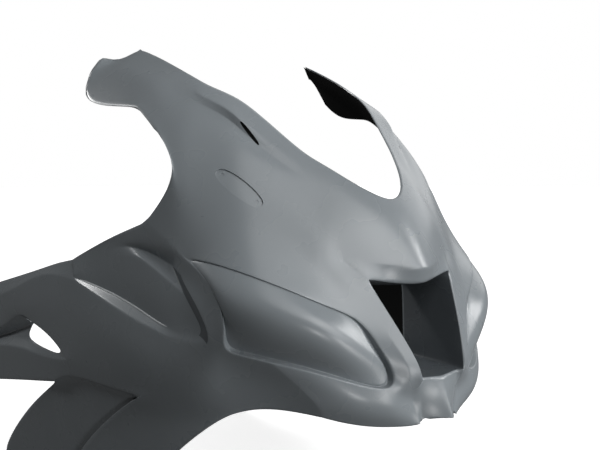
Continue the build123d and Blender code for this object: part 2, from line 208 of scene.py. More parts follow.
def aim(azimuth: float, elevation: float) -> Euler:
    """Turns a lamp or a camera towards the part.

    Args:
        azimuth: Where it stands, in degrees: 0 is ahead of the nose, 90 on the rider's left.
        elevation: How high it stands, in degrees.

    Returns:
        Its rotation.
    """
    a, e = math.radians(azimuth), math.radians(elevation)
    ahead = Vector((-math.sin(a) * math.cos(e), math.cos(a) * math.cos(e), -math.sin(e)))
    return ahead.to_track_quat("-Z", "Y").to_euler()


def new_material(name: str) -> tuple[bpy.types.Material, bpy.types.NodeTree]:
    """Makes an empty node material.

    Args:
        name: The material's name.

    Returns:
        The material and its node tree.
    """
    material = bpy.data.materials.new(name)
    material.use_nodes = True
    material.node_tree.nodes.clear()
    return material, material.node_tree


@dataclass(frozen=True)
class Primer:
    """Sprayed grey primer on glass fibre: satin, with a fine dry-spray grain and slight clouding."""

    name: str = "grey_primer_on_glass_fibre"
    colour: str = "#82888c"
    cloud_colour: str = "#7b8185"
    cloud_mm: float = 70.0
    grain_mm: float = 0.9
    grain_depth: float = 0.02
    roughness: tuple[float, float] = (0.25, 0.30)
    ior: float = 1.5

    def material(self) -> bpy.types.Material:
        """Makes the primer's material.

        Returns:
            A satin coat with clouds in its colour and gloss, and a grain in its surface.
        """
        material, tree = new_material(self.name)
        where = add_node(tree, "ShaderNodeTexCoord").outputs["Object"]
        clouds = add_node(
            tree, "ShaderNodeTexNoise", Vector=where, Scale=1 / (self.cloud_mm * MM), Detail=3.0
        )
        # The grain is finer than a pixel on the real coat, so it is drawn coarser to show at all
        grain = add_node(
            tree, "ShaderNodeTexNoise", Vector=where, Scale=1 / (self.grain_mm * MM), Detail=2.0
        )
        tint = add_node(
            tree,
            "ShaderNodeMix",
            data_type="RGBA",
            Factor=clouds.outputs["Fac"],
            _6=linear(self.colour),
            _7=linear(self.cloud_colour),
        )
        rough = add_node(
            tree,
            "ShaderNodeMapRange",
            Value=clouds.outputs["Fac"],
            To_Min=self.roughness[0],
            To_Max=self.roughness[1],
        )
        bump = add_node(
            tree,
            "ShaderNodeBump",
            Strength=self.grain_depth,
            Distance=self.grain_mm * MM,
            Height=grain.outputs["Fac"],
        )
        shader = add_node(
            tree,
            "ShaderNodeBsdfPrincipled",
            Base_Color=tint.outputs[2],
            Roughness=rough.outputs["Result"],
            IOR=self.ior,
            Normal=bump.outputs["Normal"],
        )
        add_node(tree, "ShaderNodeOutputMaterial", Surface=shader.outputs["BSDF"])
        return material


@dataclass(frozen=True)
class DarkLaminate:
    """Bare glass-fibre laminate in black resin, with the faint weave of its cloth."""

    colour: str = "#070808"
    resin_colour: str = "#0b0c0c"
    tow_mm: float = 3.0
    waver: float = 0.6
    weave_depth: float = 0.04
    roughness: float = 0.9
    ior: float = 1.3

    def material(self) -> bpy.types.Material:
        """Makes the laminate's material.

        Returns:
            A dull, nearly black resin with a faint weave in its colour and surface.
        """
        material, tree = new_material("black_resin_laminate")
        where = add_node(tree, "ShaderNodeTexCoord").outputs["Object"]
        # At a scale of 1 the wave's bands repeat every pi / 10
        tows = [
            add_node(
                tree,
                "ShaderNodeTexWave",
                bands_direction=direction,
                Vector=where,
                Scale=math.pi / (10 * self.tow_mm * MM),
                Distortion=self.waver,
            ).outputs["Fac"]
            for direction in ("Y", "Z")
        ]
        weave = add_node(tree, "ShaderNodeMath", operation="MAXIMUM", _0=tows[0], _1=tows[1])
        tint = add_node(
            tree,
            "ShaderNodeMix",
            data_type="RGBA",
            Factor=weave.outputs["Value"],
            _6=linear(self.colour),
            _7=linear(self.resin_colour),
        )
        bump = add_node(
            tree,
            "ShaderNodeBump",
            Strength=self.weave_depth,
            Distance=self.tow_mm * MM,
            Height=weave.outputs["Value"],
        )
        shader = add_node(
            tree,
            "ShaderNodeBsdfPrincipled",
            Base_Color=tint.outputs[2],
            Roughness=self.roughness,
            IOR=self.ior,
            Normal=bump.outputs["Normal"],
        )
        add_node(tree, "ShaderNodeOutputMaterial", Surface=shader.outputs["BSDF"])
        return material


@dataclass
class Cage:
    """Quads of control points, with the edges and corners that stay crisp when it is smoothed."""

    points: list[Point] = field(default_factory=list)
    numbers: dict[Point, int] = field(default_factory=dict)
    quads: list[tuple[int, ...]] = field(default_factory=list)
    faces: list[Face] = field(default_factory=list)
    edges: dict[frozenset[int], Edge] = field(default_factory=dict)
    corners: set[int] = field(default_factory=set)

    def number(self, point: Point) -> int:
        """Gives a control point its number.

        Args:
            point: The point, in millimetres.

        Returns:
            The number, the same for equal points.
        """
        key = tuple(round(c, 3) for c in point)
        if key not in self.numbers:
            self.numbers[key] = len(self.points)
            self.points.append(key)
        return self.numbers[key]

    def quad(self, *corners: Point, face: Face = Face.OUTSIDE) -> None:
        """Adds one quad, its corners anticlockwise from outside."""
        self.quads.append(tuple(self.number(p) for p in corners))
        self.faces.append(face)

    def grid(self, *rows: Line, face: Face = Face.OUTSIDE) -> None:
        """Adds quads between lines.

        Args:
            rows: Lines that follow each other downwards, each from front to rear.
            face: The face of the wall that the quads belong to.
        """
        for upper, lower in zip(rows, rows[1:]):
            for j in range(len(upper) - 1):
                self.quad(upper[j], lower[j], lower[j + 1], upper[j + 1], face=face)

    def folded(self, *rows: Line, face: Face = Face.OUTSIDE) -> None:
        """Adds quads between lines that are folds.

        Args:
            rows: Lines that follow each other downwards, each from front to rear.
            face: The face of the wall that the quads belong to.
        """
        self.grid(*rows, face=face)
        for row in rows:
            self.fold(row)

    def fold(self, line: Line, edge: Edge = Edge.FOLD) -> None:
        """Makes a crisp edge along a line of control points."""
        numbers = [self.number(p) for p in line]
        self.edges.update({frozenset(pair): edge for pair in zip(numbers, numbers[1:])})

    def corner(self, *points: Point) -> None:
        """Keeps control points as corners that the surface reaches."""
        self.corners.update(self.number(p) for p in points)

    def mirrored(self) -> "Cage":
        """Adds the mirror image across the middle plane.

        Returns:
            A new cage with both halves.
        """
        whole = Cage()
        for quad, face in zip(self.quads, self.faces):
            corners = [self.points[n] for n in quad]
            whole.quad(*corners, face=face)
            whole.quad(*[(-x, y, z) for x, y, z in reversed(corners)], face=face)
        for side in (1, -1):
            for ends, edge in self.edges.items():
                whole.fold([(side * x, y, z) for x, y, z in (self.points[n] for n in ends)], edge)
            for x, y, z in (self.points[n] for n in self.corners):
                whole.corner((side * x, y, z))
        return whole

    def walled(self, wall: float) -> "Cage":
        """A closed cage: this one, its inner face one wall behind it, and the rims between them.

        Args:
            wall: Thickness of the moulding, in millimetres.

        Returns:
            The closed cage.
        """
        normals: list[Point] = [(0.0, 0.0, 0.0)] * len(self.points)
        for quad in self.quads:
            a, b, c, d = (self.points[n] for n in quad)
            facing = cross(difference(c, a), difference(d, b))
            for n in quad:
                normals[n] = shift(normals[n], facing, 1.0)
        inner = [shift(p, unit(n), -wall) for p, n in zip(self.points, normals)]
        step = len(self.points)
        closed = Cage(points=self.points + inner)
        uses: dict[frozenset[int], list[tuple[int, int]]] = {}
        for quad, face in zip(self.quads, self.faces):
            closed.quads += [quad, tuple(n + step for n in reversed(quad))]
            closed.faces += [face, Face.INSIDE]
            for a, b in zip(quad, quad[1:] + quad[:1]):
                uses.setdefault(frozenset((a, b)), []).append((a, b))
        for ends, edge in self.edges.items():
            closed.edges[ends] = edge
            closed.edges[frozenset(n + step for n in ends)] = edge
        closed.corners = self.corners | {n + step for n in self.corners}
        for pairs in uses.values():
            if len(pairs) == 1:
                a, b = pairs[0]
                closed.quads.append((b, a, a + step, b + step))
                closed.faces.append(Face.OUTSIDE)
                closed.edges[frozenset((a, b))] = Edge.RIM
                closed.edges[frozenset((a + step, b + step))] = Edge.INNER_RIM
        return closed

    def mesh(self, name: str, drop: float) -> bpy.types.Mesh:
        """The cage as a mesh in metres, with its creases and material slots.

        Args:
            name: The mesh's name.
            drop: Height of the part's origin above the drawing's base line, in millimetres.

        Returns:
            The new mesh.
        """
        mesh = bpy.data.meshes.new(name)
        places = [(x * MM, y * MM, (z - drop) * MM) for x, y, z in self.points]
        mesh.from_pydata(places, [], self.quads)
        mesh.polygons.foreach_set("material_index", [face.value for face in self.faces])
        creases = mesh.attributes.new("crease_edge", "FLOAT", "EDGE").data
        for edge in mesh.edges:
            kind = self.edges.get(frozenset(edge.vertices))
            creases[edge.index].value = kind.value if kind else 0.0
        points = mesh.attributes.new("crease_vert", "FLOAT", "POINT").data
        for n in self.corners:
            points[n].value = Edge.CORNER.value
        mesh.validate()
        mesh.update()
        return mesh


@dataclass(frozen=True)
class Pocket:
    """A shallow pocket with round ends in the cowl's outer face, in millimetres."""

    middle: Point
    along: Point
    facing: Point
    size: tuple[float, float]
    depths: tuple[float, float]
    offset: float = 0.0
    finish: Face = Face.OUTSIDE
    blunt_ends: float = 0.7
    least_width: float = 0.04
    reach: float = 40.0
    headroom: float = 3.0
    steps: int = 24
    lanes: int = 6

    def points(self, shell: bpy.types.Object, drop: float, side: int) -> list[Vector]:
        """Lays the cutter's points along the surface.

        Args:
            shell: The smoothed shell.
            drop: Height of the part's origin above the drawing's base line, in millimetres.
            side: 1 for the rider's left, -1 for the right.

        Returns:
            The points of the pocket's floor, step by step, then those above the surface, in metres.
        """
        flip = Vector((side, 1, 1))
        facing = Vector(self.facing).normalized()
        along = Vector(self.along)
        along = (along - facing * along.dot(facing)).normalized()
        across = facing.cross(along)
        length, width = self.size
        low, high = [], []
        for i in range(self.steps + 1):
            turn = math.pi * i / self.steps
            half = max(width * math.sin(turn) ** self.blunt_ends, self.least_width) / 2
            centre = Vector(self.middle) + along * (self.offset + length / 2 * math.cos(turn))
            centre.z -= drop
            for j in range(self.lanes + 1):
                share = j / self.lanes
                start = centre + across * half * (2 * share - 1) + facing * self.reach
                hit = shell.ray_cast(start * flip * MM, -facing * flip)[1] * flip
                depth = self.depths[0] + (self.depths[1] - self.depths[0]) * share
                low.append((hit - facing * depth * MM) * flip)
                high.append((hit + facing * self.headroom * MM) * flip)
        return low + high

    def quads(self) -> list[tuple[int, ...]]:
        """Joins the cutter's points.

        Returns:
            The point numbers of each face: floor and top, then the wall around them.
        """
        row = self.lanes + 1
        above = row * (self.steps + 1)
        quads = []
        for i in range(self.steps):
            for j in range(self.lanes):
                n = i * row + j
                ring = (n, n + row, n + row + 1, n + 1)
                quads += [ring, tuple(above + k for k in reversed(ring))]
        border = [i * row for i in range(self.steps + 1)]
        border += [self.steps * row + j for j in range(1, row)]
        border += [i * row + self.lanes for i in range(self.steps - 1, -1, -1)]
        border += list(range(self.lanes - 1, 0, -1))
        quads += [(b, a, above + a, above + b) for a, b in zip(border, border[1:] + border[:1])]
        return quads

    def cut(self, shell: bpy.types.Object, drop: float, side: int) -> None:
        """Cuts the pocket out of the shell.

        Args:
            shell: The smoothed shell.
            drop: Height of the part's origin above the drawing's base line, in millimetres.
            side: 1 for the rider's left, -1 for the right.
        """
        mesh = bpy.data.meshes.new("cutter")
        mesh.from_pydata(self.points(shell, drop, side), [], self.quads())
        mesh.polygons.foreach_set("material_index", [self.finish.value] * len(mesh.polygons))
        cutter = place("cutter", mesh)
        bpy.ops.object.mode_set(mode="EDIT")
        bpy.ops.mesh.select_all(action="SELECT")
        bpy.ops.mesh.normals_make_consistent(inside=False)
        bpy.ops.object.mode_set(mode="OBJECT")
        modify(shell, "BOOLEAN", operation="DIFFERENCE", solver="EXACT", object=cutter)
        bpy.data.objects.remove(cutter)


@dataclass
class FairingShell:
    """The moulded shell. Style lines are (half breadth, length, height) in millimetres, nose first."""

    wall: float = 2.5
    smoothing: int = 3
    fold_radius: float = 0.9
    rim_radius: float = 1.9
    rounding_steps: int = 2
    sharp_degrees: float = 35.0
    outer_finish: Primer = Primer()
    inner_finish: DarkLaminate = DarkLaminate()
    # Primer painted darker than the outer face: painted shade in the deep duct and in the narrow gap beside
    # the lamp blank
    duct_painted_shade: Primer = Primer(
        "primer_painted_shade", colour="#565b5f", cloud_colour="#4e5357"
    )
    # Pale, smoother primer on a bead along a proud edge: a painted highlight, the bright line where the
    # edge catches the light
    bead_painted_highlight: Primer = Primer(
        "primer_painted_highlight", colour="#d4d8da", cloud_colour="#c8ccce", roughness=(0.15, 0.18)
    )
    seat_height: float = 44.0
    groove: tuple[float, float] = (2.6, 2.0)
    tip_groove: tuple[float, float] = (9.0, 8.0)
    rear_groove: tuple[float, float] = (3.0, 2.0)
    lip_groove: tuple[float, float] = (6.0, 7.0)
    lip_sink: float = 0.75
    tip_sink: float = 0.2
    lamp_bulge: float = 22.0
    lamp_skew: float = 0.8
    lamp_fade: float = 0.35
    cheek_shares: tuple[float, float] = (0.35, 0.7)
    cheek_hollow: tuple[float, ...] = (0.0, 2.0, 7.0, 8.0, 6.0, -4.0, -7.0, -5.0)
    cheek_bulge: tuple[float, ...] = (0.0, 2.0, 7.0, 9.0, 5.0, -2.0, -4.0, -3.0)
    cheek_facing: Point = (0.5, -0.86, 0.0)
    cheek_fold: int = 5
    cheek_slides: Sequence[tuple[float, ...]] = (
        (0.0, 0.2, 0.35, 0.35),
        (0.0, 0.4, 0.6, 0.6),
        (0.0, 0.5, 1.0, 1.1),
        (0.0, 0.2, 0.5, 0.6),
        (0.0, 0.0, 0.15, 0.2),
    )
    duct_ends: tuple[float, float] = (-46.0, -74.0)
    duct_taper: float = 0.85
    mirror_seat: Pocket = Pocket(
        middle=(163, 0, 44),
        along=(0.34, 0.76, 0.55),
        facing=(0.63, -0.59, 0.5),
        size=(64.0, 20.0),
        depths=(0.15, 1.4),
    )
    screw_mark: tuple[float, float] = (4.5, 0.5)
    screw_pitch: float = 49.0
    # The slit gets the black inside finish: painted shade that makes the shallow pocket read as a deep,
    # shadowed slit
    scoop_slit: Pocket = Pocket(
        middle=(126, 25, 105),
        along=(0.22, 0.63, 0.75),
        facing=(0.77, -0.59, 0.25),
        size=(36.0, 4.2),
        depths=(1.6, 1.6),
        finish=Face.INSIDE,
    )
    bead_radius: float = 1.6
    bead_sink: float = 0.5
    bead_tip: float = 0.15
    bead_taper: float = 6.0
    cowl_rows: tuple[float, ...] = (0.0, 0.39, 0.7, 1.0)
    scoop_edge: tuple[float, ...] = (0.14, 0.14, 0.14, 0.14, 0.14, 0.19, 0.25, 0.16, 0.14, 0.12)
    scoop_floor: tuple[float, ...] = (0.25, 0.25, 0.25, 0.25, 0.25, 0.29, 0.32, 0.22, 0.2, 0.19)
    scoop_rise: tuple[float, ...] = (0, 0, 0, 0, 0, 0, 1, 5, 4, 1)
    scoop_fall: tuple[float, ...] = (0, 0, 0, 0, 0, 0, -8, -3, -1, 0)
    scoop_facing: Point = (0.64, -0.55, 0.54)
    scoop_ends: tuple[float, float] = (0.3, 0.55)
    scoop_columns: tuple[int, int] = (6, 10)
    hood_columns: int = 4
    valley_column: int = 5
    rim: Line = (
        (0, -82, 27), (26, -72, 37), (46, -54, 52), (60, -37, 66), (72, -21, 77), (82, -6, 89),
        (104, 46, 136), (115, 68, 151), (128, 93, 162), (132, 107, 169),
    )
    crown: Line = (
        (0, -109, -8), (29, -97, 1), (57, -81, 13), (81, -62, 25), (93, -54, 26), (105, -46, 29),
        (143, 4, 77), (159, 22, 84), (180, 54, 96), (190, 72, 106),
    )
    brow: Line = (
        (0, -133, -47), (30, -118, -43), (62, -101, -37), (95, -81, -28), (108, -81, -38),
        (119, -79, -46), (159, -28, 2), (181, -8, 8), (203, 28, 14), (208, 46, 34),
    )
    cutout: Line = ((135, 123, 177), (184, 117, 145), (202, 106, 116), (206, 42, 62))
    ear_top: Line = ((138, 144, 187), (140, 174, 200), (143, 215, 216), (166, 227, 200), (183, 240, 204))
    ear_middle: Line = ((177, 147, 165), (182, 180, 175), (184, 214, 187), (191, 231, 187), (200, 241, 185))
    ear_lower: Line = ((200, 139, 138), (208, 174, 140), (216, 206, 143), (215, 226, 153), (210, 236, 165))
    lamp_top: Line = (
        (95, -114, -92), (128, -97, -78), (156, -81, -63), (188, -49, -46), (206, -8, -34), (213, 32, -31),
    )
    lamp_lip: Line = (
        (75, -141, -171), (110, -122, -160), (144, -95, -147), (172, -63, -138), (190, -36, -132),
        (202, -17, -128),
    )
    lamp_front: Line = ((81, -126, -116), (69, -137, -143), (62, -139, -162))
    lamp_rear: Line = ((213, -1, -48), (211, -21, -71), (207, -30, -98))
    post_edge: Line = (
        (95, -81, -28), (84, -92, -41), (70, -107, -55), (60, -123, -84), (50, -139, -113),
        (39, -153, -143), (36, -157, -160), (40, -142, -182),
    )
    post_ridge: Line = (
        (108, -81, -38), (98, -93, -51), (87, -106, -68), (75, -119, -88), (65, -133, -114),
        (54, -148, -142), (49, -151, -162), (57, -142, -178),
    )
    post_valley: Line = ((119, -79, -46), (110, -91, -60), (103, -103, -75))
    visor: Line = ((0, -126, -64), (28, -114, -63))
    bottom_edge: Line = (
        (32, -148, -213), (46, -140, -214), (62, -130, -214), (100, -116, -209), (128, -89, -198),
        (151, -53, -189), (168, -22, -191), (181, 8, -205),
    )
    prow_ridge: Line = ((0, -153, -163), (0, -170, -208))
    prow_step: Line = ((31, -150, -161), (27, -146, -206))
    strip: Line = ((215, 39, -31), (212, 45, -51), (217, 18, -69), (216, 0, -90), (208, -10, -122))
    panel_front: Line = ((216, 43, -28), (208, 60, -43), (215, 31, -70), (213, 12, -93), (206, -2, -122))
    panel_top: Line = ((217, 57, -11), (222, 92, 4), (227, 124, -6), (231, 165, -19), (237, 228, -45))
    leaf_top: Line = ((222, 88, -21), (227, 128, -17), (231.5, 168, -27), (238, 224, -49))
    leaf_floor: Line = ((214, 93, -29), (227, 128, -20), (232, 168, -35), (239, 221, -53))
    leaf_lower: Line = ((223, 78, -43), (227.5, 126, -23), (232.5, 168, -45), (240, 218, -57))
    flank: Line = ((224, 62, -82), (229, 112, -62), (233, 164, -60), (241, 217, -61))
    shelf_root: Line = ((219, 44, -117), (224, 92, -96), (232, 155, -76), (241, 218, -65))
    shelf_edge: Line = ((221, 45, -119), (232, 90, -108), (240, 150, -87), (242, 215, -68))
    side_columns: Sequence[Line] = (
        ((204, 4, -148), (200, 19, -177), (193, 38, -205)),
        ((221, 50, -148), (215, 61, -176), (208, 75, -199)),
        ((235, 96, -139), (230, 104, -170), (221, 109, -195)),
        ((244, 157, -120), (238, 170, -160), (229, 178, -191)),
        ((246, 227, -103), (239, 238, -169), (234, 246, -187)),
    )
    front_leg: Sequence[Line] = (
        ((188, 33, -224), (200, 75, -222), (210, 115, -220), (218, 150, -217)),
        ((195, 72, -254), (204, 120, -255), (210, 163, -255), (216, 213, -257)),
        ((198, 120, -296), (205, 172, -301), (209, 222, -305), (213, 272, -309)),
    )
    rear_leg: Sequence[Line] = (
        ((212, 112, -201), (219, 180, -198), (225, 246, -195), (227, 284, -206)),
        ((208, 165, -236), (214, 235, -235), (219, 310, -236), (221, 362, -247)),
        ((204, 235, -286), (209, 305, -290), (214, 385, -295), (217, 437, -308)),
        ((202, 270, -312), (207, 340, -320), (211, 410, -330), (214, 460, -341)),
    )
    arm_top: Line = ((234, 226, -43), (236, 292, -58), (236, 352, -73), (236, 417, -88), (235, 500, -107))
    arm_ridge: Line = ((241, 287, -62), (244, 352, -88), (244, 410, -106), (242, 500, -128))
    arm_flank: Line = ((246, 284, -103), (245, 340, -112), (243, 405, -128), (241, 500, -150))
    window_top: Line = ((241, 278, -140), (241, 354, -125), (240, 414, -152), (239, 500, -178))
    recess: Line = ((228, 344, -138), (228, 414, -159), (230, 500, -184))
    window_sill: Line = ((233, 358, -159), (233, 414, -163), (233, 500, -186))
    sill_ridge: Line = ((239, 284, -175), (240, 342, -170), (240, 410, -170), (239, 500, -194))
    arm_lower: Line = ((234, 280, -203), (235, 345, -211), (234, 420, -222), (233, 500, -234))

    def add_cowl(self, cage: Cage) -> None:
        """Adds the upper cowl from the middle plane to the side cut-out, with the ear.

        Args:
            cage: The cage of one half, which the quads and folds go into.
        """
        columns = list(zip(self.rim, self.crown, self.brow))
        rows = [[through(*column, t) for column in columns] for t in self.cowl_rows]
        for row, end in zip(rows, self.cutout):
            row.append(end)
        ears = [self.ear_top, self.ear_middle, self.ear_lower]
        scoop = (
            (self.scoop_edge, self.scoop_rise, self.scoop_ends[0]),
            (self.scoop_floor, self.scoop_fall, self.scoop_ends[1]),
        )
        for i, (shares, depths, end) in enumerate(scoop, 1):
            row = [
                shift(through(*column, t), self.scoop_facing, depth)
                for column, t, depth in zip(columns, shares, depths)
            ]
            cage.fold(row[slice(*self.scoop_columns)])
            rows.insert(i, [*row, mix(*self.cutout[:2], end)])
            ears.insert(i, [mix(*pair, end) for pair in zip(self.ear_top, self.ear_middle)])
        cage.grid(*rows)
        cage.fold([row[self.valley_column] for row in rows[3:]], Edge.SOFT)
        below = [*self.lamp_top[2:], *self.panel_top[:2]]
        cage.grid(rows[-1][self.valley_column :], below)
        cage.fold([self.lamp_top[-1], *self.panel_top[:2]])
        cage.grid(*[[row[-1], *ear] for row, ear in zip(rows, ears)])
        cage.corner(*self.ear_top[2:], self.ear_lower[0], self.ear_lower[4])

    def add_nose(self, cage: Cage) -> None:
        """Adds the hood, the posts, the chin and the intake duct between them.

        Args:
            cage: The cage of one half, which the quads and folds go into.
        """
        hood = self.brow[: self.hood_columns]
        edge, ridge = self.post_edge, self.post_ridge
        cage.grid(hood[:3], [*self.visor, edge[2]])
        cage.quad(hood[2], edge[2], edge[1], hood[3])
        cage.fold(hood)
        valley = [*self.post_valley, self.lamp_top[0], *self.lamp_front, self.lamp_lip[0]]
        for i in range(len(edge) - 1):
            cage.grid([edge[i], ridge[i], valley[i]], [edge[i + 1], ridge[i + 1], valley[i + 1]])
        cage.quad(valley[1], self.lamp_top[1], self.lamp_top[2], valley[0])
        cage.quad(valley[2], self.lamp_top[0], self.lamp_top[1], valley[1])
        cage.fold(edge[:3])
        cage.fold(ridge[1:])
        cage.corner(edge[2])

        plate = [edge[6], *self.cheek_columns()[0]]
        height = plate[0][2] - plate[-1][2]
        lines = [
            [mix(*line, (plate[0][2] - p[2]) / height) for p in plate]
            for line in (self.prow_ridge, self.prow_step)
        ]
        cage.grid(*zip(*lines, plate))
        for line in (*lines, plate):
            cage.fold(line)

        mouth = [*self.visor, *edge[2:7], self.prow_step[0], self.prow_ridge[0]]
        top, bottom = self.visor[0][2], self.prow_ridge[0][2]
        middle = (top + bottom) / 2
        upper, lower = self.duct_ends
        end = []
        for x, _, z in mouth:
            down = (top - z) / (top - bottom)
            depth = upper * (1 - down) + lower * down
            end.append((x * self.duct_taper, depth, middle + (z - middle) * self.duct_taper))
        # The duct's walls get the darker primer: painted shade deep in the intake
        cage.folded(mouth, end, face=Face.DUCT)

    def lamp_rings(self) -> tuple[list[Point], list[Point], list[Point], list[Point]]:
        """Draws the groove around the lamp blank.

        Returns:
            The groove's outer edge, its floor, the edge of the blank, and the way each column faces.
        """
        top, lip = self.lamp_top, self.lamp_lip
        outer = [*top, *self.lamp_rear, *lip[::-1], *self.lamp_front[::-1]]
        last = len(top) - 1
        spine = [mix(a, b, 0.5) for a, b in zip(top, lip)]
        facing = []
        for j in range(last + 1):
            along = difference(spine[min(j + 1, last)], spine[max(j - 1, 0)])
            facing.append(unit(cross(difference(lip[j], top[j]), along)))
        sides = (
            [(j, *self.groove, 0.0) for j in range(last + 1)]
            + [(last, *self.rear_groove, 0.0) for _ in self.lamp_rear]
            + [(j, *self.lip_groove, self.lip_sink) for j in range(last, -1, -1)]
            + [(0, *self.tip_groove, self.tip_sink) for _ in self.lamp_front]
        )
        floor = []
        edge = []
        for p, (j, width, depth, sunk) in zip(outer, sides):
            inward = unit(difference(spine[min(max(j, 1), last - 1)], p))
            floor.append(shift(shift(p, inward, width / 2), facing[j], -depth))
            edge.append(shift(shift(p, inward, width), facing[j], -depth * sunk))
        return outer, floor, edge, facing

    def add_lamp(self, cage: Cage) -> None:
        """Adds the lamp blank, a bulged panel in its groove.

        Args:
            cage: The cage of one half, which the quads and folds go into.
        """
        outer, floor, edge, facing = self.lamp_rings()
        cage.folded(*[ring + ring[:1] for ring in (outer, floor, edge)])
        columns = len(self.lamp_top)
        cage.corner(*[ring[columns - 1] for ring in (outer, floor, edge)])
        ends = len(self.lamp_rear)
        top = edge[:columns]
        rear = edge[columns : columns + ends]
        lip = edge[columns + ends : 2 * columns + ends][::-1]
        front = edge[2 * columns + ends :][::-1]
        rows = [top]
        for i in range(1, ends + 1):
            t = i / (ends + 1)
            skewed = t**self.lamp_skew
            row = [front[i - 1]]
            for j in range(1, columns - 1):
                across = 1 - self.lamp_fade * (2 * j / (columns - 1) - 1) ** 2
                crown = self.lamp_bulge * 4 * skewed * (1 - skewed) * across
                row.append(shift(mix(top[j], lip[j], t), facing[j], crown))
            rows.append(row + [rear[i - 1]])
        cage.grid(*rows, lip)

    def cheek_columns(self) -> list[list[Point]]:
        """Draws the downward lines of the cheek.

        Returns:
            The lines from front to rear, each from the lip to the bottom edge.
        """
        lip = [self.post_edge[7], self.post_ridge[7], *self.lamp_lip]
        swells = zip(lip, self.bottom_edge, self.cheek_hollow, self.cheek_bulge)
        upper, lower = self.cheek_shares
        columns = [
            [
                top,
                shift(mix(top, bottom, upper), self.cheek_facing, hollow),
                shift(mix(top, bottom, lower), self.cheek_facing, bulge),
                bottom,
            ]
            for top, bottom, hollow, bulge in swells
        ]
        first = len(columns) - len(self.cheek_slides)
        slid = [
            [mix(p, q, t) for p, q, t in zip(columns[j], columns[j - 1], slides)]
            for j, slides in enumerate(self.cheek_slides, first)
        ]
        return columns[:first] + slid

    def add_sides(self, cage: Cage) -> None:
        """Adds the cheek, the side panel with its recess and shelf, the window, the arm and the legs.

        Args:
            cage: The cage of one half, which the quads and folds go into.
        """
        strip_front = [self.lamp_top[-1], *self.lamp_rear, self.lamp_lip[-1]]
        strip, panel_front = self.strip, self.panel_front
        for i in range(len(strip) - 1):
            cage.grid([strip_front[i], strip[i]], [strip_front[i + 1], strip[i + 1]])
            # Below its top row the gap's wall gets the darker primer: painted shade in the gap beside the
            # panel
            gap = Face.DUCT if i else Face.OUTSIDE
            cage.grid([strip[i], panel_front[i]], [strip[i + 1], panel_front[i + 1]], face=gap)
        cage.quad(self.lamp_top[-1], strip[0], panel_front[0], self.panel_top[0])
        cage.fold(strip)
        cage.fold(panel_front)
        panel = [self.leaf_top, self.leaf_floor, self.leaf_lower, self.flank, self.shelf_root]
        rows = [[front, *line] for front, line in zip(panel_front, panel)]
        cage.grid(self.panel_top, *rows)
        cage.fold(rows[1][:3])
        cage.fold(rows[2][:3])
        # A pale bead rides this fold: a painted highlight line
        cage.fold(self.shelf_root, Edge.BEAD)
        cage.quad(panel_front[-1], strip[-1], self.shelf_edge[0], self.shelf_root[0])
        cage.grid(self.shelf_root, self.shelf_edge)
        cage.fold(self.shelf_edge)

        columns = self.cheek_columns()
        for top, line in zip([strip[-1], *self.shelf_edge], self.side_columns):
            columns.append([top, *line])
        cage.grid(*zip(*columns))
        cage.fold(columns[self.cheek_fold])
        foot = [column[-1] for column in columns]
        first = len(self.bottom_edge)
        cage.grid(foot[first - 1 : first + 3], *self.front_leg)
        rear_top = [*foot[first + 2 :], self.arm_lower[0]]
        cage.grid(rear_top, *self.rear_leg)
        cage.fold(rear_top)
        for leg in (self.front_leg, self.rear_leg):
            cage.corner(leg[-1][0], leg[-1][-1])

        start = columns[-1]
        sill, ridge = self.window_sill, self.sill_ridge
        cage.folded(self.arm_top, [start[0], *self.arm_ridge])
        cage.quad(start[0], start[1], self.arm_flank[0], self.arm_ridge[0])
        cage.quad(start[1], start[2], self.window_top[0], self.arm_flank[0])
        cage.grid(self.arm_ridge, self.arm_flank, self.window_top)
        cage.folded(self.window_top[1:], self.recess, sill, ridge[1:])
        cage.quad(start[2], ridge[0], ridge[1], sill[0])
        cage.grid([start[2], *ridge], [start[3], *self.arm_lower])
        cage.fold([start[2], *ridge])
        cage.fold([sill[0], ridge[1]])
        cage.corner(start[2], self.arm_top[0], self.arm_top[-1], self.arm_lower[-1], self.panel_top[-1])
        cage.corner(sill[0], self.recess[0], sill[-1], self.recess[-1])

    def build(self) -> bpy.types.Object:
        """Builds the shell: its cage, smoothing, rounded edges, pockets, finishes and beads.

        Returns:
            The shell, dressed in primer outside and dark laminate inside.
        """
        half = Cage()
        self.add_cowl(half)
        self.add_nose(half)
        self.add_lamp(half)
        self.add_sides(half)
        mesh = half.mirrored().walled(self.wall).mesh("primed_shell", self.seat_height)
        shell = place("primed_shell", mesh)
        modify(shell, "SUBSURF", levels=self.smoothing, render_levels=self.smoothing)
        beads = self.bead_lines(shell)
        self.round_edges(shell, Edge.FOLD, self.fold_radius)
        # The outer rims are rounded in the black inside finish: a painted shade line along each free edge
        self.round_edges(shell, Edge.RIM, self.rim_radius, Face.INSIDE)
        for pocket in self.pockets():
            for side in (1, -1):
                pocket.cut(shell, self.seat_height, side)
        self.dress(shell)
        self.add_beads(shell, beads)
        self.even_shading(shell)
        return shell

    def pockets(self) -> list[Pocket]:
        """Lists the pockets of one side.

        Returns:
            The mirror seat, its two screw marks and the scoop's slit.
        """
        size, depth = self.screw_mark
        marks = [
            replace(self.mirror_seat, size=(size, size), depths=(depth, depth), offset=offset)
            for offset in (-self.screw_pitch / 2, self.screw_pitch / 2)
        ]
        return [self.mirror_seat, *marks, self.scoop_slit]

